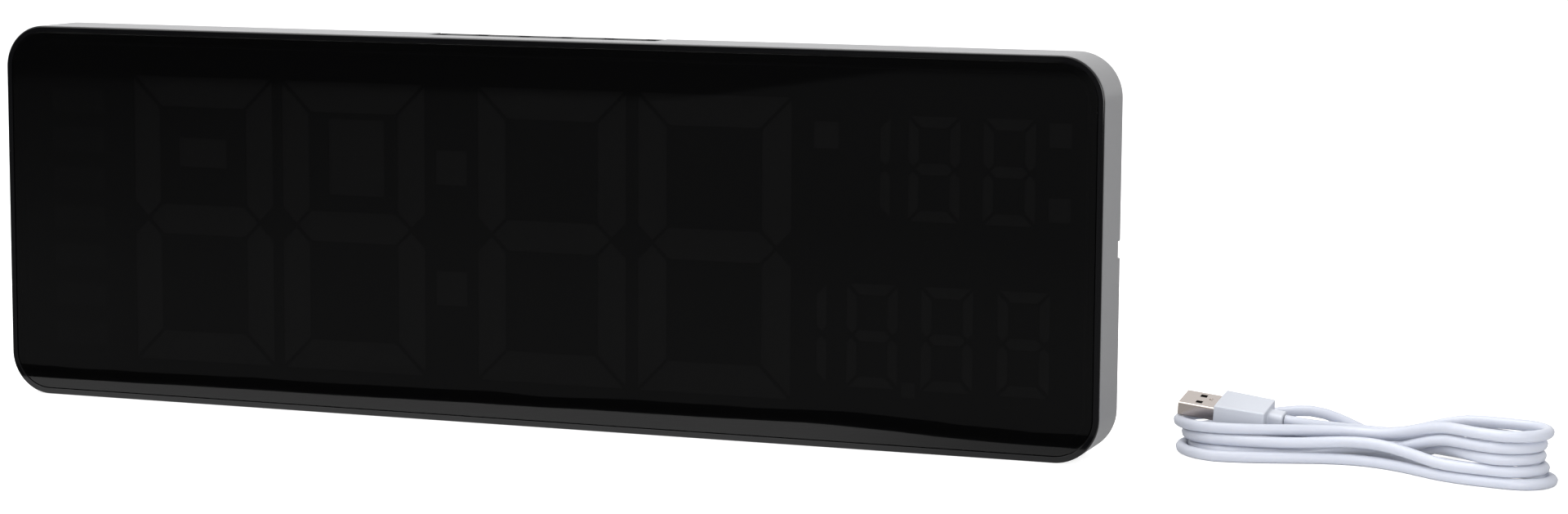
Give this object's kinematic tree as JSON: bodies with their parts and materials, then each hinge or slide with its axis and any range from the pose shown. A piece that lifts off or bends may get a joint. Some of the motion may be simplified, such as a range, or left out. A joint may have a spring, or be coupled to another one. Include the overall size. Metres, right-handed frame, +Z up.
{
  "type": "digital clock",
  "caption": "Long low digital clock for a desk or a wall, with a smoked front lens, top buttons, a recessed power socket, swing-out feet and its power lead in a hank.",
  "frame": {"origin": "on the surface that the clock stands on, under the middle of the clock's body", "axes": "+X to the right along the clock seen from the front, +Y to the rear through its depth, +Z up"},
  "size_m": [0.5367, 0.0632, 0.13],
  "materials": {
    "housing_grey": "satin",
    "ring_black": "gloss",
    "lens_smoked": "gloss",
    "gasket_rubber": "matt",
    "inner_black": "matt",
    "milk_white": "matt",
    "board_green": "satin",
    "cell_steel": "satin",
    "cover_black": "fine texture",
    "button_black": "satin",
    "screw_steel": "satin",
    "plug_nickel": "satin",
    "lead_white": "satin"
  },
  "bodies": {
    "body": {"housing": "housing_grey", "front_ring": "ring_black", "front_lens": "lens_smoked", "lens_gasket": "gasket_rubber", "display_mask": "inner_black", "board_connector": "inner_black", "controller_chip": "inner_black", "buzzer": "inner_black", "cell_holder": "inner_black", "temperature_sensor": "inner_black", "power_socket": "inner_black", "usb_tongue": "inner_black", "diffuser": "milk_white", "reflector": "milk_white", "button_ribbon": "milk_white", "display_board": "board_green", "main_board": "board_green", "button_board": "board_green", "coin_cell": "cell_steel", "rear_cover": "cover_black", "cell_door": "cover_black", "switch_1": "inner_black", "switch_2": "inner_black", "switch_3": "inner_black", "switch_4": "inner_black", "switch_5": "inner_black", "hinge_pin_left": "screw_steel", "hinge_pin_right": "screw_steel", "door_screw": "screw_steel", "board_screw_1": "screw_steel", "board_screw_2": "screw_steel", "board_screw_3": "screw_steel", "board_screw_4": "screw_steel", "board_screw_5": "screw_steel", "board_screw_6": "screw_steel", "board_screw_7": "screw_steel", "board_screw_8": "screw_steel", "cover_screw_1": "screw_steel", "cover_screw_2": "screw_steel", "cover_screw_3": "screw_steel", "cover_screw_4": "screw_steel", "cover_screw_5": "screw_steel", "cover_screw_6": "screw_steel", "main_screw_1": "screw_steel", "main_screw_2": "screw_steel", "main_screw_3": "screw_steel", "main_screw_4": "screw_steel", "usb_shell": "plug_nickel", "dc_barrel": "plug_nickel", "usb_body": "lead_white", "dc_body": "lead_white", "power_lead": "lead_white"},
    "button_1": {"button_1": "button_black"},
    "button_2": {"button_2": "button_black"},
    "button_3": {"button_3": "button_black"},
    "button_4": {"button_4": "button_black"},
    "button_5": {"button_5": "button_black"},
    "foot_left": {"foot_left": "cover_black"},
    "foot_right": {"foot_right": "cover_black"}
  },
  "joints": [
    {"name": "button_1_press", "type": "slide", "parent": "body", "child": "button_1", "axis": [0, 0, -1], "range_m": [0, 0.0006], "stiffness_N_per_m": 400, "springref_m": -0.0012},
    {"name": "button_2_press", "type": "slide", "parent": "body", "child": "button_2", "axis": [0, 0, -1], "range_m": [0, 0.0006], "stiffness_N_per_m": 400, "springref_m": -0.0012},
    {"name": "button_3_press", "type": "slide", "parent": "body", "child": "button_3", "axis": [0, 0, -1], "range_m": [0, 0.0006], "stiffness_N_per_m": 400, "springref_m": -0.0012},
    {"name": "button_4_press", "type": "slide", "parent": "body", "child": "button_4", "axis": [0, 0, -1], "range_m": [0, 0.0006], "stiffness_N_per_m": 400, "springref_m": -0.0012},
    {"name": "button_5_press", "type": "slide", "parent": "body", "child": "button_5", "axis": [0, 0, -1], "range_m": [0, 0.0006], "stiffness_N_per_m": 400, "springref_m": -0.0012},
    {"name": "foot_left_swing", "type": "hinge", "parent": "body", "child": "foot_left", "pos_m": [-0.15048, 0.009, 0.005], "axis": [0, 0, 1], "range_deg": [0, 90]},
    {"name": "foot_right_swing", "type": "hinge", "parent": "body", "child": "foot_right", "pos_m": [0.15048, 0.009, 0.005], "axis": [0, 0, -1], "range_deg": [0, 90]}
  ]
}
